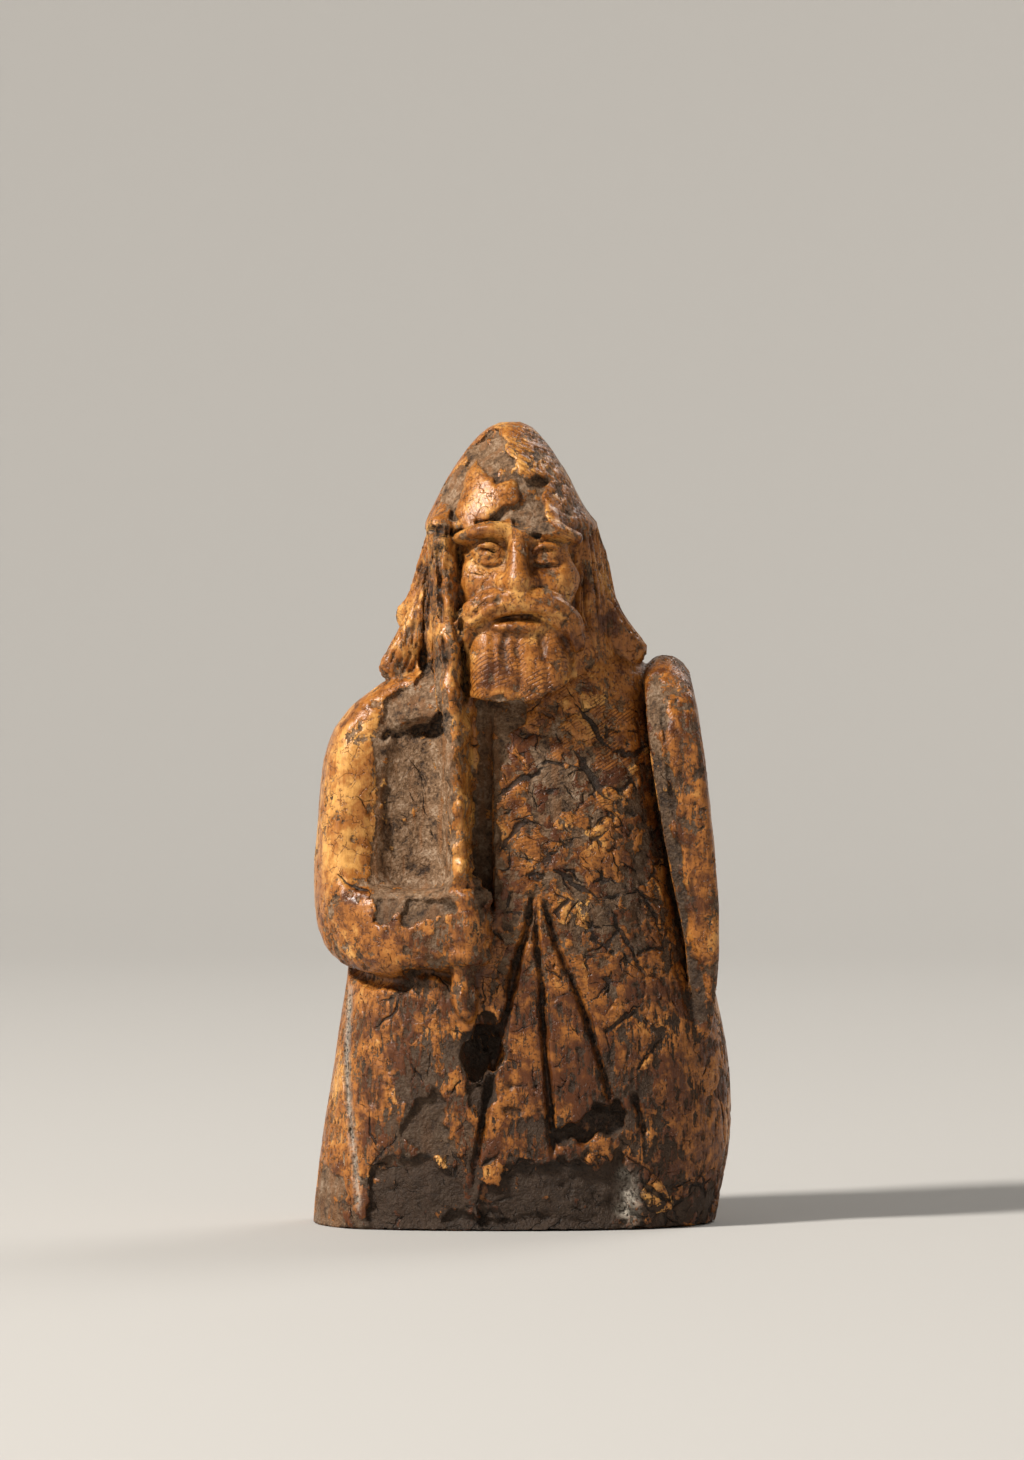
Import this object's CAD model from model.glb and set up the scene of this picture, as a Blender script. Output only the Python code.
# A carved ivory guard from a chess set, worked in numpy as clay: every form is a distance field on one grid,
# forms are joined and cut there in millimetres, and the skin of the clay becomes the mesh. +Z is up, the face
# looks along -Y, the sword is on the -X side.
import math

import bpy
import numpy as np
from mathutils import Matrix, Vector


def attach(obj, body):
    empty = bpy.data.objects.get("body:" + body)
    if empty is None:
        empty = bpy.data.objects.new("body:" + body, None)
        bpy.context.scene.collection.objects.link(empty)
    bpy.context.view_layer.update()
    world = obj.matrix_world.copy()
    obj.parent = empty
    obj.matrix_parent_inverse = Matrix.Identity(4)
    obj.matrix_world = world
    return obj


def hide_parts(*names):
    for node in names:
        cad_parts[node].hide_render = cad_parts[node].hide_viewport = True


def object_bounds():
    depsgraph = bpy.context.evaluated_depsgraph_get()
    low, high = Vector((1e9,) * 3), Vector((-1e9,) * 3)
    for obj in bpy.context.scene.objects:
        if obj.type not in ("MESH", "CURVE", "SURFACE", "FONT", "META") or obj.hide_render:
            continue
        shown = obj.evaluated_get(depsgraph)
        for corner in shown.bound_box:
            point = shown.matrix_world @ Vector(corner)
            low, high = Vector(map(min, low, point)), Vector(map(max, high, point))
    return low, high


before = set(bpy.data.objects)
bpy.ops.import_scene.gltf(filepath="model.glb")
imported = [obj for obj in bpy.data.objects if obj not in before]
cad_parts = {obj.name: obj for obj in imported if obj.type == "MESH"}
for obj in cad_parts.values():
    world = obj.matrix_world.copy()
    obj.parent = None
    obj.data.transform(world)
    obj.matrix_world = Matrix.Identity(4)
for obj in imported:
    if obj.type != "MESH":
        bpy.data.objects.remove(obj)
cadLow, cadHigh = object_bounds()
mm = 0.001
height = (cadHigh.z - cadLow.z) / mm
drawn = {"height": 88, "width": 46, "depth": 28}  # millimetres of the figure that the numbers below describe
block = {"height": height}
for side in ("width", "depth"):
    block[side] = height * drawn[side] / drawn["height"]
unit = height / drawn["height"]
print("frame loaded, figure height", round(height, 2), "mm")


# Proportions are shares of the block: of half its width, of half its depth, and of its height
def across(share):
    return share * block["width"] / 2


def through(share):
    return share * block["depth"] / 2


def level(share):
    return share * block["height"]


# Camera
camera = {
    "frameSize": (1024, 1460),  # the photograph's
    "pixelsPerMm": 9.1,
    "figureAxisPixel": 522,
    "basePixel": 1222,
    "distance": 0.78,
    "elevation": 1.0,
    "sensor": 36.0,
}


def placeCamera():
    wide, high = camera["frameSize"]
    scale = camera["pixelsPerMm"]
    aim = ((wide / 2 - camera["figureAxisPixel"]) / scale, 0, (camera["basePixel"] - high / 2) / scale)
    tilt = math.radians(camera["elevation"])
    data = bpy.data.cameras.new("photographer")
    data.sensor_fit = "VERTICAL"
    data.sensor_height = camera["sensor"]
    data.lens = camera["sensor"] * camera["distance"] / (high / scale * mm)
    data.clip_start = 0.01
    eye = bpy.data.objects.new("photographer", data)
    bpy.context.scene.collection.objects.link(eye)
    eye.location = (
        aim[0] * mm,
        -camera["distance"] * math.cos(tilt),
        aim[2] * mm + camera["distance"] * math.sin(tilt),
    )
    eye.rotation_euler = (math.pi / 2 - tilt, 0, 0)
    bpy.context.scene.camera = eye


placeCamera()
print("camera placed")


# Smooth values between rows: a row's first number is where it stands, the others are its values there
def between(rows, at):
    table = np.array(rows, float)
    place, values = table[:, 0], table[:, 1:]
    at = np.clip(at, place[0], place[-1])
    low = np.clip(np.searchsorted(place, at, side="right") - 1, 0, len(place) - 2)
    slope = np.empty_like(values)
    slope[1:-1] = (values[2:] - values[:-2]) / (place[2:] - place[:-2])[:, None]
    slope[0] = (values[1] - values[0]) / (place[1] - place[0])
    slope[-1] = (values[-1] - values[-2]) / (place[-1] - place[-2])
    span = (place[low + 1] - place[low])[:, None]
    t = (at - place[low])[:, None] / span
    return (
        (2 * t**3 - 3 * t**2 + 1) * values[low]
        + (t**3 - 2 * t**2 + t) * span * slope[low]
        + (3 * t**2 - 2 * t**3) * values[low + 1]
        + (t**3 - t**2) * span * slope[low + 1]
    )


# The clay: a grid of distances, negative inside, and grids that mark what the finish needs to know
clay = {"step": 0.2, "quickStep": 0.36, "room": 2.0, "empty": 9.0}
step = clay["step"]
axes = [
    np.arange(low / mm - clay["room"], high / mm + clay["room"], step, dtype=np.float32)
    for low, high in zip(cadLow, cadHigh)
]
shape = tuple(len(axis) for axis in axes)
body = np.full(shape, clay["empty"], np.float32)
rough = np.zeros(shape, np.float32)  # gouged spaces that were never polished
print("clay grid", shape)


# The slices and coordinates of the clay inside a box
def patch(low, high):
    cut = tuple(
        slice(*np.clip(np.searchsorted(axis, (a, b)) + (-1, 1), 0, len(axis)))
        for axis, a, b in zip(axes, low, high)
    )
    x, y, z = (axis[s] for axis, s in zip(axes, cut))
    return cut, x[:, None, None], y[None, :, None], z[None, None, :]


def softMin(a, b, blend):
    h = np.clip(0.5 + 0.5 * (b - a) / blend, 0, 1)
    return b + (a - b) * h - blend * h * (1 - h)


def join(cut, field, blend=0.3):
    body[cut] = softMin(body[cut], field.astype(np.float32), blend)


def gouge(cut, field, blend=0.3):
    body[cut] = -softMin(-body[cut], field.astype(np.float32), blend)


def smooth(value, low, high):
    t = np.clip((value - low) / (high - low), 0, 1)
    return t * t * (3 - 2 * t)


# Soft random values between 0 and 1 over a patch of the clay, with features of about the given size
def grain(cut, size, seed):
    sizes = size if isinstance(size, tuple) else (size,) * 3
    counts = [int((axis[-1] - axis[0]) / s) + 4 for axis, s in zip(axes, sizes)]
    values = np.random.default_rng(seed).random(counts).astype(np.float32)
    for i, (axis, part) in enumerate(zip(axes, cut)):
        at = ((axis - axis[0]) / sizes[i])[part]
        cell = at.astype(int)
        t = at - cell
        weights = [(1 - t) ** 3 / 6, (3 * t**3 - 6 * t**2 + 4) / 6, 0, t**3 / 6]
        weights[2] = 1 - sum(weights)
        side = [-1 if k == i else 1 for k in range(3)]
        values = sum(np.take(values, cell + k, axis=i) * weights[k].reshape(side) for k in range(4))
    return np.clip((values - 0.5) * 2.4 + 0.5, 0, 1)


# A level by level oval, as distances. Rows: level, then shares to the sword side, shield side, front and back
carvedSquareness = 2.15


def stackField(x, y, z, rows, middle=0.0, corners=(carvedSquareness, carvedSquareness)):
    sizes = between(rows, z.ravel() / block["height"])
    swordSide, shieldSide, front, back = (sizes[:, k][None, None, :] for k in range(4))
    dx = x - across(middle)
    u = np.abs(dx) / across(np.where(dx < 0, swordSide, shieldSide))
    v = np.abs(y) / through(np.where(y < 0, front, back))
    power = np.where(y < 0, np.where(dx < 0, corners[0], corners[1]), carvedSquareness)
    ring = ((u**power + v**power) ** (1 / power)).astype(np.float32)
    slope = np.sqrt(sum(g * g for g in np.gradient(ring, step)))
    field = (ring - 1) / np.maximum(slope, 0.02)
    return np.maximum(field, np.maximum(z - level(rows[-1][0]), level(rows[0][0]) - z))


def addStack(rows, blend=0.3, **options):
    reach = np.abs(np.array(rows)[:, 1:]).max() + 0.08
    low = (-across(reach) - 2, -through(reach) - 2, level(rows[0][0]) - 1)
    high = (across(reach) + 2, through(reach) + 2, level(rows[-1][0]) + 1)
    cut, x, y, z = patch(low, high)
    join(cut, stackField(x, y, z, rows, **options), blend)


# A station of a limb: its place as shares of the block, half width and half thickness as shares of the height
def station(place, halfWidth, halfThickness):
    return [across(place[0]), through(place[1]), level(place[2]), level(halfWidth), level(halfThickness)]


# A form along a path of stations. Its thickness points out from an upright axis at axisX. Gives the clay's
# slices, the distances, and the coordinates across, outwards and along the form.
def limb(stations, axisX=0.0, power=2.0, pieces=14, room=1.2):
    rows = [[i / (len(stations) - 1), *values] for i, values in enumerate(stations)]
    t = np.linspace(0, 1, pieces + 1)
    path = between(rows, t)
    centre, half = path[:, :3], path[:, 3:]
    tangent = np.gradient(centre, axis=0)
    tangent /= np.linalg.norm(tangent, axis=1, keepdims=True)
    outward = centre - [axisX, 0, 0]
    outward[:, 2] = 0
    outward -= (outward * tangent).sum(1, keepdims=True) * tangent
    outward /= np.linalg.norm(outward, axis=1, keepdims=True)
    side = np.cross(outward, tangent)
    reach = half.max() + room
    cut, x, y, z = patch(centre.min(0) - reach, centre.max(0) + reach)
    nearest = np.full(np.broadcast_shapes(x.shape, y.shape, z.shape), np.inf, np.float32)
    along = np.zeros_like(nearest)
    for i in range(pieces):
        run = centre[i + 1] - centre[i]
        away = [spot - c for spot, c in zip((x, y, z), centre[i])]
        share = np.clip(sum(a * r for a, r in zip(away, run)) / (run @ run), 0, 1)
        gap = sum((a - share * r) ** 2 for a, r in zip(away, run))
        closer = gap < nearest
        nearest = np.where(closer, gap, nearest)
        along = np.where(closer, (i + share) / pieces, along)

    def at(column):
        return np.interp(along, t, column)

    away = [spot - at(centre[:, k]) for k, spot in enumerate((x, y, z))]
    width, thickness = at(half[:, 0]), at(half[:, 1])
    u = sum(a * at(side[:, k]) for k, a in enumerate(away)) / width
    v = sum(a * at(outward[:, k]) for k, a in enumerate(away)) / thickness
    w = sum(a * at(tangent[:, k]) for k, a in enumerate(away)) / np.minimum(width, thickness)
    ring = np.sqrt((np.abs(u) ** power + np.abs(v) ** power) ** (2 / power) + w * w)
    size = np.sqrt(sum(a * a for a in away))
    field = (ring - 1) * np.where(ring > 0.05, size / np.maximum(ring, 0.05), np.minimum(width, thickness))
    return cut, field, u, v, along


def addLimb(stations, blend, **options):
    join(*limb(stations, **options)[:2], blend)


def lump(place, halfSizes, room=1.0):
    centre = np.array([across(place[0]), through(place[1]), level(place[2])])
    half = np.array([level(size) for size in halfSizes])
    cut, x, y, z = patch(centre - half - room, centre + half + room)
    away = [spot - c for spot, c in zip((x, y, z), centre)]
    ring = np.sqrt(sum((a / h) ** 2 for a, h in zip(away, half)))
    size = np.sqrt(sum(a * a for a in away))
    return cut, (ring - 1) * size / np.maximum(ring, 0.05)


# The robe and shoulders
robeRows = [
    [0.0, 1.0, 0.92, 0.94, 0.96],
    [0.045, 0.985, 0.955, 0.955, 0.985],
    [0.09, 0.965, 0.985, 0.96, 1.0],
    [0.15, 0.925, 1.0, 0.955, 1.0],
    [0.23, 0.88, 0.975, 0.935, 0.97],
    [0.31, 0.835, 0.9, 0.905, 0.935],
    [0.41, 0.805, 0.81, 0.865, 0.9],
    [0.52, 0.79, 0.745, 0.81, 0.86],
    [0.61, 0.76, 0.715, 0.72, 0.8],
    [0.66, 0.67, 0.665, 0.63, 0.72],
    [0.7, 0.46, 0.58, 0.5, 0.58],
    [0.725, 0.25, 0.36, 0.3, 0.3],
]
robeSquareness = 2.8


def carveRobe():
    cut, x, y, z = patch((-26, -18, -2), (26, 17, level(robeRows[-1][0]) + 1))
    join(cut, stackField(x, y, z, robeRows, corners=(robeSquareness, carvedSquareness)), 0.01)


carveRobe()
print("robe carved")


# Spaces gouged in front: a wide hollow between arm and sword, a narrow channel on the sword's other side
def gougedSpace(middle, bottom, top, halfWidth, halfDepth, blend):
    ends = [station([middle, -1.1, z], halfWidth, halfDepth) for z in (bottom, top)]
    cut, field, *_ = limb(ends, axisX=across(middle), power=3.4, pieces=3)
    gouge(cut, field, blend)
    return cut, field


hollowCut, hollowField = gougedSpace(-0.54, 0.44, 0.6, 0.05, 0.1, 0.8)
rough[hollowCut] = np.maximum(rough[hollowCut], 1 - smooth(hollowField, 0.2, 0.9))
gougedSpace(-0.2, 0.37, 0.655, 0.0175, 0.076, 0.4)
pitCut, pitField = lump([-0.19, -0.93, 0.225], [0.021, 0.034, 0.032])
pitField = pitField + 1.6 * (grain(pitCut, 1.8, 5) - 0.5) + 1.1 * (grain(pitCut, (0.8, 1.5, 1.1), 9) - 0.5)
gouge(pitCut, pitField, 0.3)
rough[pitCut] = np.maximum(rough[pitCut], 1 - smooth(pitField, 0.1, 0.5))


# The arm that holds the sword: shoulder, elbow out at the side, forearm across the front
def carveArm():
    stations = [
        station([-0.52, -0.02, 0.632], 0.07, 0.05),
        station([-0.74, -0.1, 0.594], 0.07, 0.046),
        station([-0.82, -0.18, 0.512], 0.064, 0.038),
        station([-0.82, -0.25, 0.432], 0.062, 0.041),
        station([-0.757, -0.42, 0.381], 0.058, 0.047),
        station([-0.59, -0.66, 0.367], 0.056, 0.046),
        station([-0.375, -0.8, 0.372], 0.052, 0.042),
    ]
    addLimb(stations, 0.5, power=2.9, pieces=18)


carveArm()


# The shadow line under the forearm, with a step where a piece has broken away
def undercutForearm():
    places = [[-19.4, -3.8, 28.2], [-18, -6.9, 27.5], [-15.5, -9.8, 26.9], [-12.9, -11.3, 26.8]]
    places += [[-12.1, -11.6, 27.9], [-10, -12.2, 27.9], [-7.6, -12.6, 27.3]]
    stations = [[*(value * height / drawn["height"] for value in place), 0.75, 1.5] for place in places]
    cut, field, *_ = limb(stations, pieces=18)
    gouge(cut, field + 0.5 * (grain(cut, 1.3, 4) - 0.5), 0.2)


undercutForearm()


# Head, helmet, hair
headMiddle, faceMiddle, neckLevel = -0.045, -0.02, 0.64
helmetRows = [
    [0.864, 0.425, 0.41, 0.735, 0.775],
    [0.875, 0.415, 0.395, 0.725, 0.76],
    [0.893, 0.378, 0.345, 0.68, 0.72],
    [0.926, 0.312, 0.278, 0.575, 0.615],
    [0.956, 0.242, 0.205, 0.45, 0.475],
    [0.978, 0.18, 0.145, 0.33, 0.34],
    [0.993, 0.12, 0.09, 0.21, 0.21],
    [1.0, 0.06, 0.04, 0.1, 0.1],
]
headRows = [
    [neckLevel, 0.53, 0.54, 0.56, 0.72],
    [0.69, 0.51, 0.54, 0.6, 0.77],
    [0.73, 0.46, 0.5, 0.63, 0.77],
    [0.76, 0.415, 0.405, 0.65, 0.76],
    [0.82, 0.385, 0.37, 0.67, 0.74],
    [0.88, 0.386, 0.371, 0.671, 0.711],
]
addStack(headRows, 0.5, middle=headMiddle)


def carveHair():
    sideLocks = [
        [-58, 0.688, -0.02, 0.048],
        [-76, 0.69, 0.18, 0.044],
        [-96, 0.755, 0.1, 0.046],
        [62, 0.7, 0, 0.05],
        [80, 0.71, 0.18, 0.046],
        [98, 0.762, 0.05, 0.046],
    ]
    backLocks = [[119 + 122 * i / 6, 0.705 + 0.03 * (i % 2), 0.06, 0.058] for i in range(7)]
    rng = np.random.default_rng(31)
    for turn, tip, flare, width in sideLocks + backLocks:
        strands, sway, cutDepth = rng.uniform(3.0, 4.8), rng.uniform(0.1, 0.3), rng.uniform(0.35, 0.7)
        sin, cos = math.sin(math.radians(turn)), math.cos(math.radians(turn))
        middle = (0.83 + tip) / 2
        stations = [
            station([headMiddle + sin * outX, -cos * outY, z], width / 2 * taper, 0.0205)
            for z, outX, outY, taper in (
                (0.866, 0.333, 0.635, 0.8),
                (middle + 0.03, 0.385, 0.69, 1),
                (middle - 0.02, 0.405 + flare * 0.35, 0.72 + flare * 0.35, 1),
                (tip, 0.4 + flare, 0.725 + flare, 0.72),
            )
        ]
        cut, field, u, v, along = limb(stations, axisX=across(headMiddle), power=2.8, pieces=10)
        wave = (u + sway * np.sin(along * 5 + turn)) * strands * math.pi / 2
        groove = cutDepth * np.abs(np.cos(wave)) ** 6 + 0.3 * cutDepth * np.abs(np.sin(wave)) ** 20
        groove = groove * smooth(v, -0.2, 0.4) * (0.5 + grain(cut, (1.5, 1.5, 4.0), 32))
        join(cut, field + groove, 0.12)


carveHair()


def carveFace():
    brow, nose, eye = 0.858, 0.79, 0.832
    mouth = nose - (brow - nose) / 2
    eyeApart = 0.14
    mass = [
        station([faceMiddle, -0.54, 0.872], 0.056, 0.03),
        station([faceMiddle, -0.56, 0.822], 0.064, 0.034),
        station([faceMiddle, -0.6, 0.785], 0.066, 0.037),
        station([faceMiddle, -0.62, 0.74], 0.06, 0.036),
    ]
    addLimb(mass, 0.6, power=2.5)
    for side in (-1, 1):
        join(*lump([faceMiddle + side * 0.17, -0.61, 0.802], [0.03, 0.02, 0.022]), 1.8)
    for side in (-1, 1):
        gouge(*lump([faceMiddle + side * eyeApart, -0.84, eye - 0.001], [0.028, 0.024, 0.019]), 0.9)
    noseStations = [
        station([faceMiddle, -0.72, brow + 0.004], 0.0115, 0.013),
        station([faceMiddle, -0.8, (brow + nose) / 2], 0.0125, 0.0165),
        station([faceMiddle, -0.87, nose + 0.008], 0.0165, 0.0175),
    ]
    addLimb(noseStations, 0.5, power=2.2)
    for side in (-1, 1):
        browStations = [
            station([faceMiddle + side * 0.03, -0.72, brow + 0.003], 0.01, 0.015),
            station([faceMiddle + side * eyeApart, -0.735, brow + 0.006], 0.0105, 0.017),
            station([faceMiddle + side * 0.265, -0.61, brow - 0.005], 0.008, 0.015),
        ]
        addLimb(browStations, 0.9)
        join(*lump([faceMiddle + side * eyeApart, -0.66, eye], [0.0205, 0.0185, 0.0098]), 0.1)
        for lift, push, thick in ((0.0122, -0.008, 0.0036), (-0.0102, 0.012, 0.0024)):
            corner, bend = eyeApart - 0.03, eyeApart + 0.035
            lid = [
                station([faceMiddle + side * (eyeApart - 0.09), -0.705 + push, eye - 0.002], 0.0022, 0.003),
                station([faceMiddle + side * corner, -0.76 + push, eye + lift * 0.9], thick, 0.005),
                station([faceMiddle + side * bend, -0.74 + push, eye + lift * 0.85], thick, 0.005),
                station([faceMiddle + side * (eyeApart + 0.1), -0.655 + push, eye - 0.002], 0.0022, 0.003),
            ]
            addLimb(lid, 0.22, room=0.8)
        join(*lump([faceMiddle + side * 0.062, -0.8, nose + 0.009], [0.0115, 0.014, 0.0105]), 0.35)
        gouge(*lump([faceMiddle + side * 0.04, -0.92, nose - 0.008], [0.0048, 0.008, 0.006]), 0.15)
    lowerLip = [
        station([faceMiddle + x, -0.86 + abs(x) * 0.4, mouth - 0.013], 0.008, 0.012) for x in (-0.1, 0, 0.1)
    ]
    addLimb(lowerLip, 0.3)


carveFace()


def carveBeard():
    beardRows = [
        [0.64, 0.262, 0.27, 0.945, 0.3],
        [0.67, 0.27, 0.275, 0.955, 0.3],
        [0.7, 0.272, 0.275, 0.93, 0.3],
        [0.74, 0.255, 0.255, 0.865, 0.3],
        [0.765, 0.23, 0.225, 0.8, 0.2],
    ]
    cut, x, y, z = patch((-10, -16, level(0.635)), (9, 2, level(0.77)))
    field = stackField(x, y, z, beardRows, middle=faceMiddle, corners=(4.5, 4.5))
    lowerEdge = level(0.651) + 0.36 * np.maximum(x - across(0.03), 0) + 0.5 * (grain(cut, 1.2, 3) - 0.5)
    undercut = (lowerEdge + 0.35 * (y + through(0.93)) - z) * 0.95
    field = np.maximum(field, undercut)
    fan = (x - across(faceMiddle)) / (1 + 0.35 * (level(0.76) - z) / level(0.1))
    groove = 0.22 * np.abs(np.cos((fan + 0.25 * np.sin(z * 0.6)) * math.pi / 2.3)) ** 16
    join(cut, field + groove * (y < -7), 0.25)
    mouthPath = [
        station([faceMiddle + x, -0.95 + abs(x) * 0.6, 0.756], 0.0055, 0.021) for x in (-0.15, 0, 0.15)
    ]
    gouge(*limb(mouthPath)[:2], 0.25)
    for side in (-1, 1):
        whisker = [
            station([faceMiddle, -0.84, 0.776], 0.016, 0.0195),
            station([faceMiddle + side * 0.13, -0.815, 0.77], 0.0195, 0.0205),
            station([faceMiddle + side * 0.225, -0.745, 0.75], 0.0185, 0.02),
            station([faceMiddle + side * 0.264, -0.69, 0.724], 0.014, 0.0175),
        ]
        cut, field, u, v, along = limb(whisker, power=2.6)
        strand = np.abs(np.cos((u + 0.15 * np.sin(along * 9)) * 2.9 * math.pi / 2)) ** 5
        join(cut, field + 0.25 * strand * smooth(along, 0.02, 0.2) * smooth(v, -0.1, 0.4), 0.35)


carveBeard()
print("head, hair and face carved")


def carveHelmet():
    cut, x, y, z = patch((-14, -13, level(0.86)), (12, 13, level(1.005)))
    join(cut, stackField(x, y, z, helmetRows, middle=headMiddle), 0.12)


carveHelmet()

# Sword, fist and shield
sword = {"width": 2.1, "depth": 5.6, "axis": -0.2}
fistMiddle, fistHalfHeight = [-0.255, -0.92, 0.375], 0.048
swordLine = [
    [-0.28, -0.91, 0.415],
    [-0.285, -0.9, 0.45],
    [-0.302, -0.87, 0.55],
    [-0.318, -0.79, 0.65],
    [-0.333, -0.66, 0.75],
    [-0.347, -0.5, 0.86],
]


def carveSword():
    half = [sword["width"] / 2, sword["depth"] / 2]
    webHalf = [sword["width"] * 1.1, sword["depth"] * 0.75]
    blade = [station(place, 0, 0)[:3] + half for place in swordLine]
    web = [station([x + 0.02, y * 0.7, z], 0, 0)[:3] + webHalf for x, y, z in swordLine if z >= neckLevel]
    addLimb(web, 0.3, axisX=across(sword["axis"]), pieces=8)
    cut, field, *_ = limb(blade, axisX=across(sword["axis"]), power=3.2, pieces=16)
    nicks = 0.55 * (grain(cut, (1.2, 3.0, 1.5), 6) - 0.5) + 0.75 * (grain(cut, (0.5, 1.5, 0.6), 7) - 0.5)
    join(cut, field + nicks, 0.2)
    x, y, z = fistMiddle
    guard = [x - 0.03, y, z + fistHalfHeight * 1.15]
    pommel = [x - 0.02, y, z - fistHalfHeight * 1.9]
    grip = [station(place, 0, 0)[:3] + [sword["width"] * 0.62] * 2 for place in (guard, pommel)]
    addLimb(grip, 0.3, pieces=3)
    for place, sizes in ((guard, [0.024, 0.026, 0.012]), (pommel, [0.017, 0.021, 0.024])):
        cut, field = lump(place, sizes)
        join(cut, field + 0.9 * (grain(cut, (0.8, 1.5, 1.1), 8) - 0.5), 0.4)


def carveFist():
    x, y, z = fistMiddle
    fingers, half = 4, 0.0135
    join(*lump([x, y * 0.93, z], [0.031, 0.047, fistHalfHeight * 1.25]), 0.6)
    for i in range(fingers):
        rise = z + ((i + 0.5) / fingers - 0.5) * fistHalfHeight * 1.95
        bent = [
            station([x - 0.09, y - 0.06, rise], half, half),
            station([x + 0.01, y - 0.13, rise], half, half),
            station([x + 0.07, y - 0.04, rise], half, half),
        ]
        addLimb(bent, 0.25, pieces=6)


carveFist()
carveSword()

shield = {
    "height": 41.8,
    "breadth": 21,
    "thickness": 5.7,
    "dish": 0.4,
    "top": 0.708,
    "edge": 0.9,
    "topEdge": 2.4,
    "borderInset": 2.3,
    "borderHalfWidth": 0.4,
    "borderDepth": 0.35,
}
shieldRows = [
    [0.23, 0.895, -0.46, 0.3],
    [0.29, 0.92, -0.33, 0.52],
    [0.36, 0.94, -0.2, 0.7],
    [0.44, 0.925, -0.08, 0.87],
    [0.52, 0.895, 0, 0.98],
    [0.6, 0.86, 0, 1],
    [0.67, 0.815, 0, 0.93],
    [0.71, 0.785, 0, 0.85],
]


# A round-topped board with a point below, dished round the body. Its edges are rounded, the top one most.
def carveShield():
    radius = shield["breadth"] / 2
    tail = shield["height"] - radius
    top = level(shield["top"])
    widest = top - radius
    cut, x, y, z = patch((8, -16, widest - tail - 1), (24.5, 14, top + 1))
    rows = between(shieldRows, z.ravel() / block["height"])
    outer, middle, thick = (rows[:, k][None, None, :] for k in range(3))
    half = shield["thickness"] / 2 * thick
    dy = np.abs(y - through(middle))
    down = np.clip((widest - z) / tail, 0, 1)
    breadth = radius * (1 - down**1.7) + shield["thickness"] * 0.15 * down
    lean = 1.7 * radius / tail * down**0.7
    arch = np.hypot(dy, np.maximum(z - widest, 0)) - radius
    plan = np.where(z > widest, arch, (dy - breadth) / np.sqrt(1 + lean**2))
    plan = np.maximum(plan, widest - tail - z)
    slab = np.abs(x - across(outer) + half + shield["dish"] * (dy / radius) ** 2) - half
    edge = shield["edge"] + (shield["topEdge"] - shield["edge"]) * smooth(z, top - 5, top - 1)
    edge = np.minimum(edge, half * 0.95)
    border = 1 - np.abs(plan + shield["borderInset"]) / shield["borderHalfWidth"]
    slab = slab + shield["borderDepth"] * np.clip(border, 0, 1)
    a, b = plan + edge, slab + edge
    join(cut, np.minimum(np.maximum(a, b), 0) + np.hypot(np.maximum(a, 0), np.maximum(b, 0)) - edge, 0.3)


carveShield()
print("sword, fist and shield carved")


# Weathering. Every field becomes true millimetres near the surface, so what is taken off has its real depth.
def slopes():
    return np.gradient(body, step)


def settle():
    size = np.sqrt(sum(g * g for g in slopes()))
    body[:] = body / np.clip(size, 0.25, 4)


settle()
everywhere = (slice(None),) * 3
frontView = (slice(None), slice(0, 1), slice(None))
frontX, frontZ = axes[0][:, None, None], axes[2][None, None, :]


# Places in the front view are [x, z] in millimetres of the figure as drawn. This is the distance from a line
# there, and how far along it, from 0 to 1.
def lineGap(points):
    rows = [[i / (len(points) - 1), x * unit, z * unit] for i, (x, z) in enumerate(points)]
    steps = 6 * len(points)
    line = between(rows, np.linspace(0, 1, steps + 1))
    nearest = np.full((shape[0], 1, shape[2]), np.inf, np.float32)
    along = np.zeros_like(nearest)
    for i in range(steps):
        a, run = line[i], line[i + 1] - line[i]
        share = np.clip(((frontX - a[0]) * run[0] + (frontZ - a[1]) * run[1]) / (run @ run), 0, 1)
        gap = np.hypot(frontX - a[0] - share * run[0], frontZ - a[1] - share * run[1])
        along = np.where(gap < nearest, (i + share) / steps, along)
        nearest = np.minimum(gap, nearest)
    return nearest, along


# Distance to a closed outline in the front view, negative inside
def areaGap(points):
    points = [(x * unit, z * unit) for x, z in points]
    nearest = np.full((shape[0], 1, shape[2]), np.inf, np.float32)
    inside = np.zeros(nearest.shape, bool)
    for (ax, az), (bx, bz) in zip(points, points[1:] + points[:1]):
        x, z, rx, rz = frontX - ax, frontZ - az, bx - ax, bz - az
        share = np.clip((x * rx + z * rz) / (rx * rx + rz * rz), 0, 1)
        nearest = np.minimum(nearest, np.hypot(x - share * rx, z - share * rz))
        inside ^= ((az > frontZ) != (bz > frontZ)) & (frontX < ax + z / (rz or 1e-6) * rx)
    return np.where(inside, -nearest, nearest)


# A ragged groove's distance from its line, and 1 along it but for its tapered ends
def grooveAlong(line, ragged, before, start, end):
    gap, along = lineGap(line)
    return gap + ragged, smooth(along, -before, start) * smooth(1 - along, -before, end)


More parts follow.
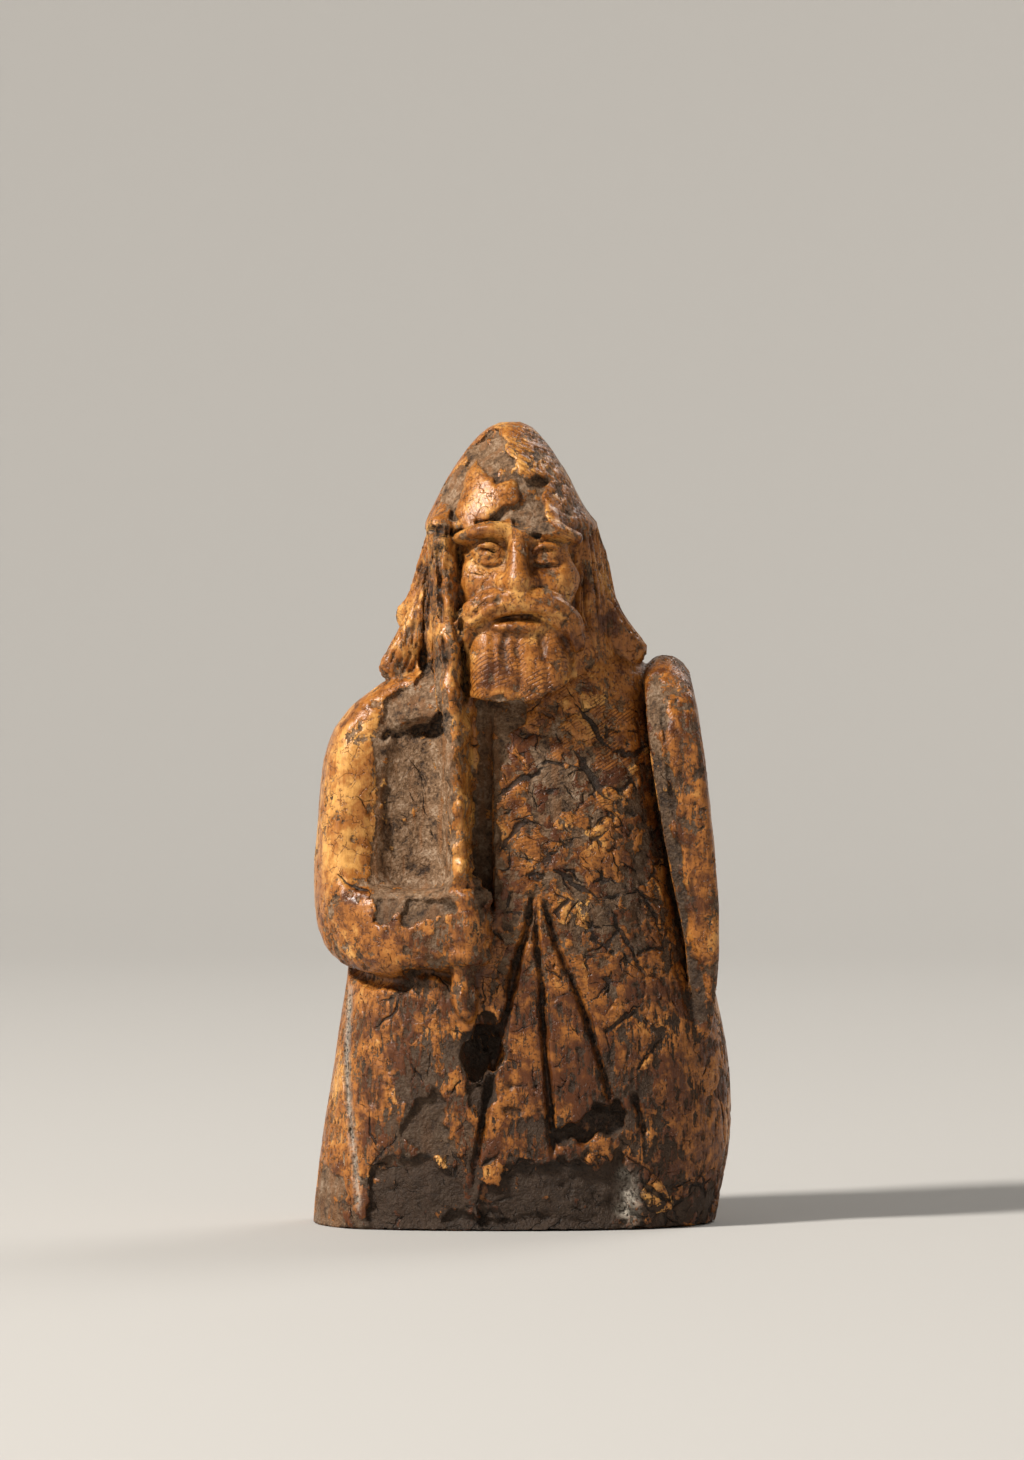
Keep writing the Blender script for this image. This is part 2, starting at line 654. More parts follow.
# Folds: half width, depth, and the line that the gouge followed. Three fan out below the chest, a short one
# breaks near the hem, and one runs down the sword side.
frontFolds = [
    [0.62, 1.5, [[1.2, 36.9], [0.5, 32.6], [-0.8, 28.2], [-1.6, 24], [-2.6, 20.5], [-4.4, 11], [-5.6, 3.5]]],
    [0.55, 1.3, [[1.5, 36.9], [1.6, 31], [2.1, 26.8], [2.4, 20.4], [3.1, 12], [3.4, 6.6]]],
    [0.55, 1.3, [[1.9, 36.7], [4.1, 30], [5.8, 26.2], [7.5, 21.5], [8.7, 17.4], [10.3, 11]]],
    [0.5, 0.9, [[12.1, 15], [12.8, 12.4], [13.4, 10]]],
    [0.42, 0.55, [[-18.8, 26], [-19.1, 17.8], [-18.6, 11.2], [-17.7, 2.4]]],
]
backFolds = [
    [0.9, 1.2, [[x * 0.62, 37], [x * 0.85, 23], [x, 9], [x * 1.03, 2.6]]] for x in (-12.6, -4.6, 4.1, 12)
]

# Narrow breaks: half width, depth, dirt in them, and the line
frontBreaks = [
    # across the shoulder
    [0.3, 0.8, 0.9, [[-15.2, 53.0], [-14.4, 53.9], [-13.4, 53.6], [-12.2, 53.9], [-11, 53.7]]],
    [0.6, 1.4, 1.0, [[-12.1, 53.9], [-10.8, 54.2], [-9.6, 53.9], [-8.0, 54.4]]],
    [0.45, 1.2, 1.0, [[-9.8, 54.2], [-8.9, 55.2], [-8.2, 56.2]]],
    # under the brim
    [0.5, 0.8, 1.0, [[-11.2, 75.7], [-9.6, 75.9], [-7.4, 75.7]]],
    # on both sides of the sword
    [0.35, 1.0, 0.9, [[-6.0, 56.5], [-6.4, 62], [-6.7, 68], [-6.9, 75]]],
    [0.3, 0.9, 0.9, [[-8.2, 60.5], [-8.7, 66], [-9.2, 75.4]]],
    # between the locks
    [0.45, 1.1, 1.0, [[-10.3, 59.6], [-10.7, 62], [-10.5, 66], [-10.1, 74.5]]],
    [0.25, 0.5, 0.7, [[-9.4, 61], [-9.6, 66], [-9.6, 75]]],
    [0.25, 0.5, 0.7, [[-13.0, 60.2], [-12.1, 63], [-11.5, 68], [-10.9, 74.6]]],
    [0.25, 0.45, 0.7, [[-14.3, 59.8], [-13.1, 62], [-12.3, 65.5]]],
    # between two folds
    [0.3, 0.45, 0.8, [[-1.9, 15.6], [0.3, 15.9], [2.0, 15.6]]],
    [0.3, 0.35, 0.8, [[-2.4, 13.2], [0.2, 13.0], [2.4, 13.1]]],
    # above the lost hem
    [0.35, 0.5, 0.9, [[-1.2, 7.1], [0.8, 6.8], [3.4, 7.1], [5.8, 6.9], [9.4, 7.4]]],
    [0.3, 0.4, 0.9, [[-14.2, 8.4], [-12.4, 7.7], [-10.6, 8.1], [-9.2, 7.8]]],
    # in the beard
    [0.3, 0.3, 0.6, [[-1.6, 65.6], [-2.0, 63], [-1.7, 60.6]]],
    [0.25, 0.25, 0.6, [[1.9, 64.9], [2.3, 62.6], [1.2, 61.2]]],
    # the bevel of the shield's edge, and cracks along it
    [1.5, 0.9, 0.1, [[13.6, 59], [14.0, 52], [14.9, 45], [16.2, 38.5], [17.6, 31], [19.2, 23]]],
    [0.4, 0.6, 0.7, [[15.2, 58], [15.4, 53.6], [16.5, 45], [17.5, 37], [18.2, 31], [19.7, 23.4]]],
    [0.22, 0.3, 0.6, [[14.6, 54], [15.5, 45], [16.6, 37.5], [18.3, 29]]],
    [0.2, 0.2, 0.5, [[16.6, 56], [17.6, 47], [18.5, 38], [19.2, 30]]],
    # in the hollow
    [0.3, 0.35, 0.6, [[-14.2, 50], [-14.9, 46.5], [-14.4, 42], [-13.2, 39.2]]],
]

# Where the surface is lost: depth, dirt, and the outline
lostPatches = [
    [0.6, 0.05, [  # grey field on the helmet
        [-2.9, 86.6], [-5.6, 85.3], [-7.6, 82.6], [-8.6, 80.2], [-8.4, 78.6], [-7.2, 77.2], [-3, 76.9],
        [2.9, 77.4], [2.5, 80.2], [0.5, 80.9], [-0.9, 83.1], [-2.1, 83.4],
    ]],
    [0.6, 0.25, [  # broken brim above the brow
        [-1.2, 77.9], [-0.4, 79.6], [0.2, 81.2], [1.6, 82.2], [3.0, 81.4], [3.4, 79.4], [2.9, 77.4],
        [3.6, 75.9], [1.5, 75.6], [-0.9, 76.2],
    ]],
    [0.4, 0.2, [  # shoulder
        [-8.8, 61.6], [-8.2, 53.4], [-13.5, 53.2], [-15.4, 55], [-14.2, 57.4], [-12.6, 58.3], [-10.9, 60.6],
    ]],
    [0.35, 0.1, [  # beside the narrow channel
        [-4.7, 57.5], [0.3, 57], [-0.9, 53.4], [-2.5, 49], [-2.9, 45], [-2.8, 37], [-4.6, 35], [-4.9, 45],
    ]],
    [0.5, 0.15, [  # top of the forearm
        [-13.2, 35.2], [-12, 36.1], [-9.5, 36.2], [-7.6, 36.4], [-7.4, 34.8], [-9.5, 34.0], [-12.2, 33.4],
        [-13.0, 34.2],
    ]],
    [0.35, 0.15, [  # forearm
        [-16.2, 36.0], [-15.2, 36.6], [-14, 36.2], [-13.5, 35.2], [-14, 34.4], [-15.6, 34.2],
    ]],
    [0.5, 0.1, [[-5.9, 17.8], [-2.9, 17.5], [-3.2, 14], [-4.6, 10.8], [-5.4, 12.8]]],  # below the pit
    [0.55, 0.2, [  # low on the robe's sword side
        [-13.8, 10], [-12.6, 12.6], [-12.3, 13.8], [-11, 14.2], [-9.6, 15.4], [-8.7, 15], [-8.4, 12.4],
        [-8.1, 10], [-7.4, 8], [-9.5, 8.3], [-11.8, 9.2],
    ]],
    [0.6, 0.25, [  # lost hem, sword side
        [-17, -1], [-16.8, 4.6], [-16.2, 7], [-14.6, 7.9], [-12.6, 7.8], [-9.8, 7.8], [-7.6, 6.6],
        [-6.6, 4.6], [-6.2, 3], [-6.4, -1],
    ]],
    [0.7, 0.4, [  # lost hem, middle and shield side
        [-5.2, -1], [-4.9, 3.2], [-4.3, 4.8], [-2.6, 5.2], [-1.8, 6.6], [-1.0, 7.1], [5.8, 7.1],
        [9.4, 7.4], [10.6, 9.0], [11.6, 6], [11.6, -1],
    ]],
    [1.3, 0.85, [  # hole
        [3.9, 10.5], [5.2, 11.6], [6.4, 12.2], [7.6, 13.4], [9.2, 12.9], [10.3, 13.3], [10.6, 11.6],
        [9.8, 10.9], [8.2, 10.9], [6.8, 9.8], [5.2, 10.2],
    ]],
    [0.5, 1.0, [[-6.0, 21.5], [-4.6, 22.6], [-3.2, 21.8], [-3.0, 19.8], [-3.9, 17.8], [-5.2, 17.8]]],  # pit
    [1.2, 0.7, [[-8.4, -1], [-7.6, 1.6], [-5.4, 2.3], [-3, 1.3], [-0.9, 1.0], [-0.4, -1]]],  # chip in the hem
    [0.35, 0.0, [[-23, -1], [-22.8, 6], [-21.7, 7], [-19.5, 6.6], [-19.2, -1]]],  # corner of the hem
    [0.3, 0.25, [  # inner strip of the shield's edge
        [13.6, 60.5], [15.2, 60], [15.4, 53.6], [16.5, 45], [17.5, 37], [18.2, 31], [19.7, 23.4], [19.4, 20],
        [17.6, 29.5], [15.9, 40], [14.3, 46.5], [13.5, 57],
    ]],
]
# What still stands of the old surface inside the grey field
helmetIsland = [
    [-5.05, 83.7], [-3.9, 82.3], [-2.9, 80.9], [-1.2, 81.2], [-0.2, 80.3], [-0.8, 78.9], [-2.8, 77.9],
    [-4.2, 77.2], [-6.5, 77.1], [-7.1, 77.9], [-6.6, 80.2], [-6.3, 82.3],
]


def weatherFront():
    ragged = 1.3 * (grain(frontView, 1.6, 11) - 0.5) + 0.9 * (grain(frontView, 0.55, 12) - 0.5)
    uneven = 0.55 * grain(frontView, (0.8, 1, 0.5), 13) + 0.45 * grain(frontView, (2.4, 1, 1.1), 14)
    sunk = np.zeros((shape[0], 1, shape[2]), np.float32)
    worn, grime, dust, calm = sunk.copy(), sunk.copy(), sunk.copy(), sunk.copy()
    standing = smooth(areaGap(helmetIsland) + ragged * 0.5, -0.1, 0.3)
    for i, (depth, dirt, outline) in enumerate(lostPatches):
        gap = areaGap(outline) + ragged
        stands = standing if i < 2 else 1
        inside = smooth(-gap, -0.1, 0.22) * stands
        sunk = np.maximum(sunk, depth * inside * (0.55 + 0.9 * uneven))
        worn = np.maximum(worn, smooth(-gap, -0.25, 0.05) * stands)
        grime = np.maximum(grime, dirt * inside)
    for halfWidth, depth, dirt, line in frontBreaks:
        gap, taper = grooveAlong(line, 0.45 * ragged, 0.05, 0.15, 0.15)
        inside = np.clip(1 - gap / halfWidth, 0, 1) ** 0.6 * taper
        sunk = np.maximum(sunk, depth * inside)
        grime = np.maximum(grime, dirt * smooth(inside, 0.05, 0.5))
    for halfWidth, depth, line in frontFolds:
        gap, taper = grooveAlong(line, 0.25 * ragged, 0.02, 0.1, 0.2)
        inside = np.clip(1 - gap / (halfWidth * (0.6 + 0.4 * taper)), 0, 1) ** 0.9 * taper
        sunk = np.maximum(sunk, depth * inside)
        grime = np.maximum(grime, 0.95 * smooth(inside, 0.25, 0.7))
        calm = np.maximum(calm, 1 - smooth(gap, 0.5, 1.3))
    sideFold = lineGap(frontFolds[-1][-1])[0]
    hemDust = np.hypot((frontX - 11.6 * unit) / 1.7, (frontZ - 3.4 * unit) / 4.2)
    dust = np.maximum(0.45 * (1 - smooth(sideFold, 0.1, 0.5)), (1 - smooth(hemDust, 0.3, 1.2)) * uneven**2)
    return sunk, worn, grime, dust, calm


def weatherBack():
    ragged = 0.5 * (grain(frontView, 0.9, 15) - 0.5)
    sunk = np.zeros((shape[0], 1, shape[2]), np.float32)
    for halfWidth, depth, line in backFolds:
        gap, taper = grooveAlong(line, 0.25 * ragged, 0.02, 0.15, 0.2)
        inside = taper * np.clip(1 - gap / halfWidth, 0, 1) ** 0.8
        sunk = np.maximum(sunk, depth * inside)
    return sunk, 0.9 * smooth(sunk, 0.3, 1.0)


def blurred(values, radius):
    reach = max(1, round(radius / step))
    for axis in range(3):
        ends = [np.repeat(np.take(values, [k], axis), reach + n, axis) for k, n in ((0, 1), (-1, 0))]
        total = np.cumsum(np.concatenate([ends[0], values, ends[1]], axis), axis, dtype=np.float32)
        size = values.shape[axis]
        upper = np.take(total, range(2 * reach + 1, 2 * reach + 1 + size), axis)
        values = (upper - np.take(total, range(size), axis)) / (2 * reach + 1)
    return values


# How much of a ball round each place is ivory: half on a flat surface, less on an edge, more in a hollow
def fullness(radius):
    solid = np.clip(0.5 - body / (2 * step), 0, 1)
    return blurred(blurred(solid, radius * 0.6), radius * 0.6)


frontSunk, frontWorn, frontGrime, frontDust, frontCalm = weatherFront()
facing = slopes()[1]
body += frontSunk * smooth(-facing, 0.12, 0.5)
backSunk, backGrime = weatherBack()
body += backSunk * smooth(facing, 0.12, 0.5)
del facing

# Chips out of the helmet's shield side
for place, halfSizes in (
    ([0.205, -0.12, 0.963], [0.012, 0.06, 0.018]),
    ([0.17, -0.3, 0.972], [0.009, 0.03, 0.012]),
):
    cut, field = lump(place, halfSizes)
    gouge(cut, field + 0.5 * (grain(cut, 1.2, 20) - 0.5), 0.25)

# Handled edges are rounded and nibbled, the whole skin is a little uneven. Sizes and depths are in
# millimetres.
handling = {
    "ball": 0.7,
    "edgeFullness": 0.46,
    "rounding": 0.04,
    "nibbleSize": 1.4,
    "nibbleDepth": 0.7,
    "waveSize": 3.4,
    "waveHeight": 0.24,
    "rippleSize": 1.1,
    "rippleHeight": 0.06,
}
wear = smooth(handling["edgeFullness"] - fullness(handling["ball"]), 0.0, 0.2)
nibbles = np.clip(grain(everywhere, handling["nibbleSize"], 21) - 0.6, 0, 1)
body += wear * (handling["rounding"] + handling["nibbleDepth"] * nibbles)
del wear, nibbles
waves = handling["waveHeight"] * (grain(everywhere, handling["waveSize"], 22) - 0.5)
body += waves + handling["rippleHeight"] * (grain(everywhere, handling["rippleSize"], 23) - 0.5)
del waves
print("weathered")

cellCorners = [(i, j, k) for i in (0, 1) for j in (0, 1) for k in (0, 1)]


# The skin of the clay: one vertex in each cell that the surface passes through, one quad over each edge that
# it crosses
def skin(field):
    inside = field < 0
    nx, ny, nz = field.shape
    whole = inside.astype(np.uint8)
    count = sum(whole[i : nx - 1 + i, j : ny - 1 + j, k : nz - 1 + k] for i, j, k in cellCorners)
    cells = np.argwhere((count > 0) & (count < 8))
    number = np.full(count.shape, -1, np.int32)
    number[tuple(cells.T)] = np.arange(len(cells))
    place = np.zeros((len(cells), 3), np.float32)
    hits = np.zeros(len(cells), np.float32)
    for start in cellCorners:
        for direction in range(3):
            if start[direction]:
                continue
            end = [s + (k == direction) for k, s in enumerate(start)]
            a = field[tuple((cells + start).T)]
            b = field[tuple((cells + end).T)]
            crossed = (a < 0) != (b < 0)
            share = np.where(crossed, a / np.where(crossed, a - b, 1), 0)
            for k in range(3):
                place[:, k] += np.where(crossed, start[k] + (share if k == direction else 0), 0)
            hits += crossed
    place = cells + place / hits[:, None]
    place = place * step + [axis[0] for axis in axes]
    quads = []
    forward = np.eye(3, dtype=int)
    for axis in range(3):
        low, high = [slice(1, -1)] * 3, [slice(1, -1)] * 3
        low[axis], high[axis] = slice(0, -1), slice(1, None)
        a, b = inside[tuple(low)], inside[tuple(high)]
        edges = np.argwhere(a != b)
        outwards = a[tuple(edges.T)]
        cell = edges + 1 - forward[axis]
        one, two = forward[(axis + 1) % 3], forward[(axis + 2) % 3]
        ring = [number[tuple((cell - back).T)] for back in (one + two, two, 0 * one, one)]
        ring = np.stack(ring, axis=1)
        quads.append(np.where(outwards[:, None], ring, ring[:, ::-1]))
    return place, np.concatenate(quads)


# Only the shell with the most corners stays, so no crumb floats inside or beside the figure
def largestShell(place, quads):
    label = np.arange(len(place))
    while True:
        lowest = label[quads].min(axis=1)
        fresh = label.copy()
        for k in range(4):
            np.minimum.at(fresh, quads[:, k], lowest)
        fresh = fresh[fresh]
        if (fresh == label).all():
            break
        label = fresh
    names, counts = np.unique(label, return_counts=True)
    main = names[counts.argmax()]
    kept = label == main
    print("shells", len(names), "corners kept", int(kept.sum()))
    renumber = np.cumsum(kept) - 1
    return place[kept], renumber[quads[kept[quads[:, 0]]]]


def meshOf(name, place, quads):
    mesh = bpy.data.meshes.new(name)
    mesh.vertices.add(len(place))
    mesh.vertices.foreach_set("co", (place * mm).astype(np.float32).ravel())
    mesh.loops.add(quads.size)
    mesh.loops.foreach_set("vertex_index", quads.astype(np.int32).ravel())
    mesh.polygons.add(len(quads))
    mesh.polygons.foreach_set("loop_start", np.arange(0, quads.size, 4, dtype=np.int32))
    mesh.update(calc_edges=True)
    mesh.validate()
    mesh.shade_smooth()
    piece = bpy.data.objects.new(name, mesh)
    bpy.context.scene.collection.objects.link(piece)
    return piece


# The underside is cut flat
cut, x, y, z = patch((-30, -20, -3), (30, 20, 2))
body[cut] = -softMin(-body[cut], np.broadcast_to(z, body[cut].shape), 0.25)
place, quads = largestShell(*skin(body))
place[:, 2] = np.maximum(place[:, 2], 0)
figure = meshOf("carved_warder_ivory", place, quads)
print("skin", len(quads), "quads")


# A grid's value at each place, between its eight nearest grid points. A view from the front is one cell deep.
def sampled(grid, place):
    total = np.zeros(len(place))
    at = [(place[:, k] - axes[k][0]) / step if grid.shape[k] > 1 else np.zeros(len(place)) for k in range(3)]
    cell = [np.clip(a.astype(int), 0, max(size - 2, 0)) for a, size in zip(at, grid.shape)]
    for corner in cellCorners:
        spot = tuple(np.minimum(c + n, size - 1) for c, n, size in zip(cell, corner, grid.shape))
        share = [np.clip(a - c, 0, 1) if n else 1 - np.clip(a - c, 0, 1) for a, c, n in zip(at, cell, corner)]
        total += grid[spot] * share[0] * share[1] * share[2]
    return total


# What time did to the surface, zone by zone in the front view: place, half width, half height, then the share
# of the polish that is lost, how many cracks it has, how streaked it is, how dark it has grown, and how
# clearly the growth rings show
surfaceZones = {
    "helmet": [-3, 84, 9, 6, 0.24, 0.12, 0.4, 0.35, 0.3],
    "helmet top": [1.5, 85, 3.5, 3, 0.36, 0.15, 0.1, 0.4, 1.6],
    "helmet shield side": [6, 80, 4, 6, 0.44, 0.25, 0.3, 0.65, 0.8],
    "face": [-0.5, 70, 6, 6.5, 0.1, 0.42, 0.1, 0.4, 0.2],
    "beard": [-0.5, 60.5, 5.5, 3.5, 0.16, 0.45, 0.0, 0.6, 1.0],
    "hair": [-11.5, 67, 2.6, 7, 0.17, 0.1, 1.0, 0.3, 0],
    "shield side hair": [11, 68, 3, 8, 0.28, 0.1, 1.0, 0.6, 0],
    "sword": [-7.2, 54, 1.2, 20, 0.33, 0.2, 0.3, 0.2, 0],
    "shoulder": [-15, 57, 5, 4, 0.3, 0.35, 0.1, 0.15, 0],
    "upper arm": [-19, 46, 3.5, 10, 0.14, 0.3, 0.1, 0.05, 0],
    "forearm": [-16, 33, 5, 4, 0.26, 0.35, 0.2, 0.75, 0],
    "forearm front": [-11, 31.5, 3.5, 2, 0.5, 0.2, 0.6, 0.7, 0],
    "fist": [-6, 33, 2.4, 5, 0.36, 0.1, 0.8, 0.8, 0],
    "hollow": [-11.5, 45, 3.2, 7, 0.8, 1.3, 0.2, 0.1, 0],
    "chest": [4, 46, 6, 8, 0.33, 1.0, 0.0, 0.65, 0.5],
    "upper chest": [9, 52, 3.5, 4, 0.3, 0.8, 0.1, 0.5, 1.4],
    "middle": [4, 33, 9, 7, 0.4, 1.0, 0.0, 0.75, 0.3],
    "shield side chest": [12.5, 37, 2.6, 10, 0.55, 0.9, 0.1, 0.9, 0.3],
    "fan": [1.5, 19, 6, 8, 0.42, 0.5, 0.85, 1.15, 0.1],
    "sword side robe": [-13, 18, 5.5, 8, 0.44, 0.6, 0.85, 0.95, 0.1],
    "robe edge": [-20.5, 15, 2, 12, 0.36, 0.15, 0.9, 0.25, 0],
    "shield side robe": [15, 17, 5, 10, 0.44, 0.45, 0.7, 1.05, 0.2],
    "hem": [0, 3, 15, 3.5, 0.62, 1.8, 0.2, 1.3, 0],
    "hem corner": [-20.5, 5, 2.5, 5, 0.4, 0.15, 0.4, 0.7, 0],
    "shield edge": [18.4, 44, 1.6, 14, 0.38, 0.25, 0.6, 0.85, 0],
}
plainSurface = [0.32, 0.45, 0.3, 0.5, 0.4]


def zoneValues(place, front):
    weight = np.full(len(place), 0.03)
    total = weight[:, None] * plainSurface
    for x, z, halfX, halfZ, *values in surfaceZones.values():
        gap = ((place[:, 0] / unit - x) / halfX) ** 2 + ((place[:, 2] / unit - z) / halfZ) ** 2
        share = np.exp(-1.4 * gap) * front
        weight = weight + share
        total = total + share[:, None] * values
    return (total / weight[:, None]).T


def describeSurface(piece, place):
    mesh = piece.data
    normals = np.empty(len(mesh.vertices) * 3, np.float32)
    mesh.vertex_normals.foreach_get("vector", normals)
    front, back = smooth(-normals[1::3], -0.1, 0.35), smooth(normals[1::3], 0.1, 0.4)
    lossShare, crackle, streaks, age, rings = zoneValues(place, front)
    lost = np.maximum(sampled(rough, place), sampled(frontWorn, place) * front)
    values = {
        "lossShare": np.clip(np.maximum(lossShare, lost * 0.92), 0, 1),
        "crackle": crackle * (1 - 0.6 * lost) * (1 - 0.7 * sampled(frontCalm, place) * front),
        "streaks": streaks,
        "age": age,
        "rings": rings * (1 - lost),
        "grime": sampled(frontGrime, place) * front + sampled(backGrime, place) * back,
        "dust": sampled(frontDust, place) * front,
        "hollow": sampled(fullness(2.6), place),
        "crease": sampled(fullness(0.8), place),
    }
    for name, numbers in values.items():
        layer = mesh.attributes.new(name, "FLOAT", "POINT")
        layer.data.foreach_set("value", numbers.astype(np.float32))
    soft = blurred(body, 1.2)
    lie = np.stack([sampled(slope, place) for slope in np.gradient(soft, step)], 1)
    lie /= np.linalg.norm(lie, axis=1, keepdims=True)
    layer = mesh.attributes.new("lie", "FLOAT_VECTOR", "POINT")
    layer.data.foreach_set("vector", lie.astype(np.float32).ravel())
    print("surface described:", ", ".join(values))


describeSurface(figure, place)


# Small builders that work in shader trees and in Geometry Nodes trees alike
def addMath(tree, operation, *values, clamp=False):
    node = tree.nodes.new("ShaderNodeMath")
    node.operation = operation
    node.use_clamp = clamp
    for socket, value in zip(node.inputs, values):
        plug(tree, value, socket)
    return node.outputs[0]


def times(tree, a, b, clamp=False):
    return addMath(tree, "MULTIPLY", a, b, clamp=clamp)


def timesPlus(tree, a, b, c, clamp=False):
    return addMath(tree, "MULTIPLY_ADD", a, b, c, clamp=clamp)


def minus(tree, a, b, clamp=False):
    return addMath(tree, "SUBTRACT", a, b, clamp=clamp)


def plug(tree, value, socket):
    if isinstance(value, bpy.types.NodeSocket):
        tree.links.new(value, socket)
    else:
        socket.default_value = value


def addRamp(tree, value, low, high, start=0.0, end=1.0):
    node = tree.nodes.new("ShaderNodeMapRange")
    node.interpolation_type = "SMOOTHSTEP"
    for k, item in enumerate((value, low, high, start, end)):
        plug(tree, item, node.inputs[k])
    return node.outputs[0]


def addVector(tree, operation, *values):
    node = tree.nodes.new("ShaderNodeVectorMath")
    node.operation = operation
    sockets = [node.inputs[0], node.inputs["Scale"]] if operation == "SCALE" else node.inputs
    for socket, value in zip(sockets, values):
        plug(tree, value, socket)
    return node.outputs["Value" if operation in ("DOT_PRODUCT", "LENGTH") else "Vector"]


def addNoise(tree, place, scale, detail=3.0, roughness=0.55, output="Fac"):
    node = tree.nodes.new("ShaderNodeTexNoise")
    plug(tree, place, node.inputs["Vector"])
    plug(tree, scale, node.inputs["Scale"])
    node.inputs["Detail"].default_value = detail
    node.inputs["Roughness"].default_value = roughness
    return node.outputs[output]


# Noise as a vector round zero, to bend places by
def addSway(tree, place, scale, detail):
    return addVector(tree, "SUBTRACT", addNoise(tree, place, scale, detail, output="Color"), (0.5, 0.5, 0.5))


# A number or a vector that the mesh carries at each place
def addMark(tree, name, kind="FLOAT"):
    if tree.bl_idname == "ShaderNodeTree":
        node = tree.nodes.new("ShaderNodeAttribute")
        node.attribute_name = name
        return node.outputs["Vector" if kind == "FLOAT_VECTOR" else "Fac"]
    node = tree.nodes.new("GeometryNodeInputNamedAttribute")
    node.data_type = kind
    node.inputs["Name"].default_value = name
    return node.outputs["Attribute"]


# Age cracks of two kinds: walls of bent cells, broken off here and there, and strokes that taper to both
# ends. Gives the cracks and a number from 0 to 1 for each plate.
cracks = {
    "plate": 3.3,
    "halfWidth": 0.15,
    "edge": 0.12,
    "depth": 0.2,
    "lift": 0.05,
    "bends": ((0.3, 2.0, 2.4), (1.3, 3.0, 0.45)),  # bends in a mm, their detail, and how far they go
    "strokeReach": 0.62,
    "strokeGain": 2.2,
    "strokeEdge": 0.11,
    "strokes": ((6.2, 2.6), (2.9, 1.1), (1.3, 0.6)),  # room of one stroke in mm, share of the half width
}


def addCells(tree, place, size):
    cells = tree.nodes.new("ShaderNodeTexVoronoi")
    plug(tree, addVector(tree, "SCALE", place, addMath(tree, "DIVIDE", 1.0, size)), cells.inputs["Vector"])
    cells.inputs["Scale"].default_value = 1.0
    return cells


# One stroke in each cell, across the lie of the surface. There are fewer where there is less crackle.
def addStrokes(tree, place, size, halfWidth):
    cells = addCells(tree, addVector(tree, "ADD", place, (7 * size, 3 * size, 5 * size)), size)
    spot = cells.inputs["Vector"].links[0].from_socket
    away = addVector(tree, "SUBTRACT", spot, cells.outputs["Position"])
    chance = addVector(tree, "SUBTRACT", cells.outputs["Color"], (0.5, 0.5, 0.5))
    lie = addMark(tree, "lie", "FLOAT_VECTOR")
    sideways = addVector(tree, "NORMALIZE", addVector(tree, "CROSS_PRODUCT", lie, chance))
    gap = addMath(tree, "ABSOLUTE", addVector(tree, "DOT_PRODUCT", away, sideways))
    reach = addMath(tree, "DIVIDE", addVector(tree, "LENGTH", away), cracks["strokeReach"])
    taper = minus(tree, 1.0, times(tree, reach, reach), clamp=True)
    lot = addMath(tree, "FRACT", addVector(tree, "DOT_PRODUCT", cells.outputs["Color"], (3.1, 5.7, 9.3)))
    drawn = minus(tree, addMark(tree, "crackle"), lot)
    drawn = times(tree, drawn, cracks["strokeGain"], clamp=True)
    width = times(tree, times(tree, halfWidth, taper), drawn)
    inside = minus(tree, width, times(tree, gap, size))
    return addRamp(tree, inside, 0.0, cracks["strokeEdge"])


def addCracks(tree, place, plate, halfWidth):
    bent = place
    for scale, detail, far in cracks["bends"]:
        sway = addVector(tree, "SCALE", addSway(tree, place, scale, detail), far)
        bent = addVector(tree, "ADD", bent, sway)
    uneven = addRamp(tree, addNoise(tree, place, 0.5, 3.0), 0.36, 0.62, 0.15, 2.0)
    cells = addCells(tree, bent, plate)
    walls = addCells(tree, bent, plate)
    walls.feature = "DISTANCE_TO_EDGE"
    gap = times(tree, walls.outputs["Distance"], plate)
    inside = minus(tree, times(tree, halfWidth, uneven), gap)
    shown = addRamp(tree, addNoise(tree, place, 0.34, 3.0), 0.47, 0.55)
    shown = times(tree, shown, addRamp(tree, addMark(tree, "crackle"), 0.5, 0.85))
    line = times(tree, addRamp(tree, inside, 0.0, cracks["edge"]), shown)
    for size, share in cracks["strokes"]:
        stroke = addStrokes(tree, bent, size, times(tree, halfWidth, share))
        line = addMath(tree, "MAXIMUM", line, stroke)
    return line, addVector(tree, "DOT_PRODUCT", cells.outputs["Color"], (0.34, 0.33, 0.33))


# Where the polish has come off: ragged flakes, drawn out along the grain where the surface is streaked.
# Gives 1 on bared ivory, and the grit that the bared ivory has.
flakes = {
    "size": 1.6,
    "chip": 0.75,
    "chipStretch": 0.6,
    "chipBend": 0.9,
    "byChip": 0.5,
    "strand": 0.45,
    "stretch": 0.16,
    "contrast": 2.8,
    "field": 7.0,
    "byField": 0.9,
    "byPlate": 0.7,
    "edge": 0.03,
    "rubbed": 0.12,
    "grit": 0.36,
    "gritContrast": 1.7,
    "depth": 0.07,
    "gritDepth": 0.13,
}


